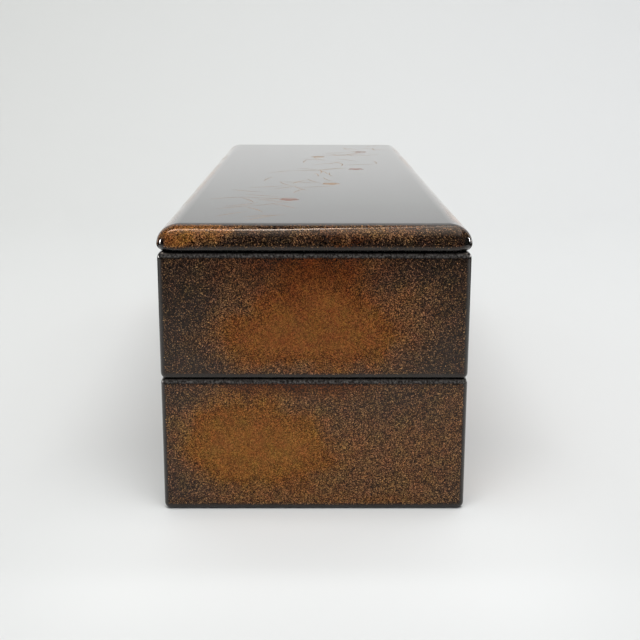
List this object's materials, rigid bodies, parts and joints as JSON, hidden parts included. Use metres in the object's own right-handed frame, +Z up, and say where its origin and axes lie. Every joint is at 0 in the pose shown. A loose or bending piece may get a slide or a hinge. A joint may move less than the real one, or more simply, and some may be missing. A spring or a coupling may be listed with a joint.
{
  "type": "lacquer writing box",
  "caption": "Long, narrow stacking box of lacquered wood with a flush lid: a lower tier for paper and an upper tier whose fitted tray holds an inkstone, water dropper, ink stick and brushes.",
  "frame": {"origin": "middle of the underside, on the surface that the box stands on", "axes": "+X across the box to the right of someone facing its front end, +Y along the box from its front end to its back end, +Z up"},
  "size_m": [0.087, 0.281, 0.082],
  "materials": {
    "sprinkled_gold_lacquer": "gloss",
    "black_lacquer": "gloss",
    "slate": "matte",
    "copper": "satin",
    "ink": "satin",
    "bamboo": "satin",
    "horn": "gloss",
    "hair": "matte"
  },
  "bodies": {
    "lower_tier": {"lower_wall_left": "sprinkled_gold_lacquer", "lower_wall_right": "sprinkled_gold_lacquer", "lower_wall_front": "sprinkled_gold_lacquer", "lower_wall_back": "sprinkled_gold_lacquer", "lower_bottom": "sprinkled_gold_lacquer", "lower_lip_left": "black_lacquer", "lower_lip_right": "black_lacquer", "lower_lip_front": "black_lacquer", "lower_lip_back": "black_lacquer"},
    "upper_tier": {"upper_wall_left": "sprinkled_gold_lacquer", "upper_wall_right": "sprinkled_gold_lacquer", "upper_wall_front": "sprinkled_gold_lacquer", "upper_wall_back": "sprinkled_gold_lacquer", "upper_bottom": "sprinkled_gold_lacquer", "upper_lip_left": "black_lacquer", "upper_lip_right": "black_lacquer", "upper_lip_front": "black_lacquer", "upper_lip_back": "black_lacquer"},
    "lid": {"lid_top_board": "sprinkled_gold_lacquer", "lid_rim_left": "sprinkled_gold_lacquer", "lid_rim_right": "sprinkled_gold_lacquer", "lid_rim_front": "sprinkled_gold_lacquer", "lid_rim_back": "sprinkled_gold_lacquer"},
    "tray": {"tray_floor": "black_lacquer", "tray_wall_left": "black_lacquer", "tray_wall_right": "black_lacquer", "tray_wall_front": "black_lacquer", "tray_wall_back": "black_lacquer", "tray_long_divider": "black_lacquer", "tray_stone_divider": "black_lacquer", "tray_dropper_divider": "black_lacquer", "brush_rest_front": "black_lacquer", "brush_rest_back": "black_lacquer"},
    "inkstone": {"inkstone": "slate"},
    "water_dropper": {"water_dropper_vessel": "copper", "water_dropper_top": "copper"},
    "ink_stick": {"ink_stick": "ink"},
    "brush_left": {"brush_left_shaft": "bamboo", "brush_left_plug": "horn", "brush_left_hair": "hair"},
    "brush_right": {"brush_right_shaft": "bamboo", "brush_right_plug": "horn", "brush_right_hair": "hair"}
  },
  "joints": [
    {"name": "upper_tier_lift", "type": "slide", "parent": "lower_tier", "child": "upper_tier", "axis": [0, 0, 1], "range_m": [0, 0.06]},
    {"name": "lid_lift", "type": "slide", "parent": "upper_tier", "child": "lid", "axis": [0, 0, 1], "range_m": [0, 0.08]},
    {"name": "tray_lift", "type": "slide", "parent": "upper_tier", "child": "tray", "axis": [0, 0, 1], "range_m": [0, 0.014]},
    {"name": "inkstone_lift", "type": "slide", "parent": "tray", "child": "inkstone", "axis": [0, 0, 1], "range_m": [0, 0.014]},
    {"name": "water_dropper_lift", "type": "slide", "parent": "tray", "child": "water_dropper", "axis": [0, 0, 1], "range_m": [0, 0.014]},
    {"name": "ink_stick_lift", "type": "slide", "parent": "tray", "child": "ink_stick", "axis": [0, 0, 1], "range_m": [0, 0.014]},
    {"name": "brush_left_lift", "type": "slide", "parent": "tray", "child": "brush_left", "axis": [0, 0, 1], "range_m": [0, 0.014]},
    {"name": "brush_right_lift", "type": "slide", "parent": "tray", "child": "brush_right", "axis": [0, 0, 1], "range_m": [0, 0.014]}
  ]
}
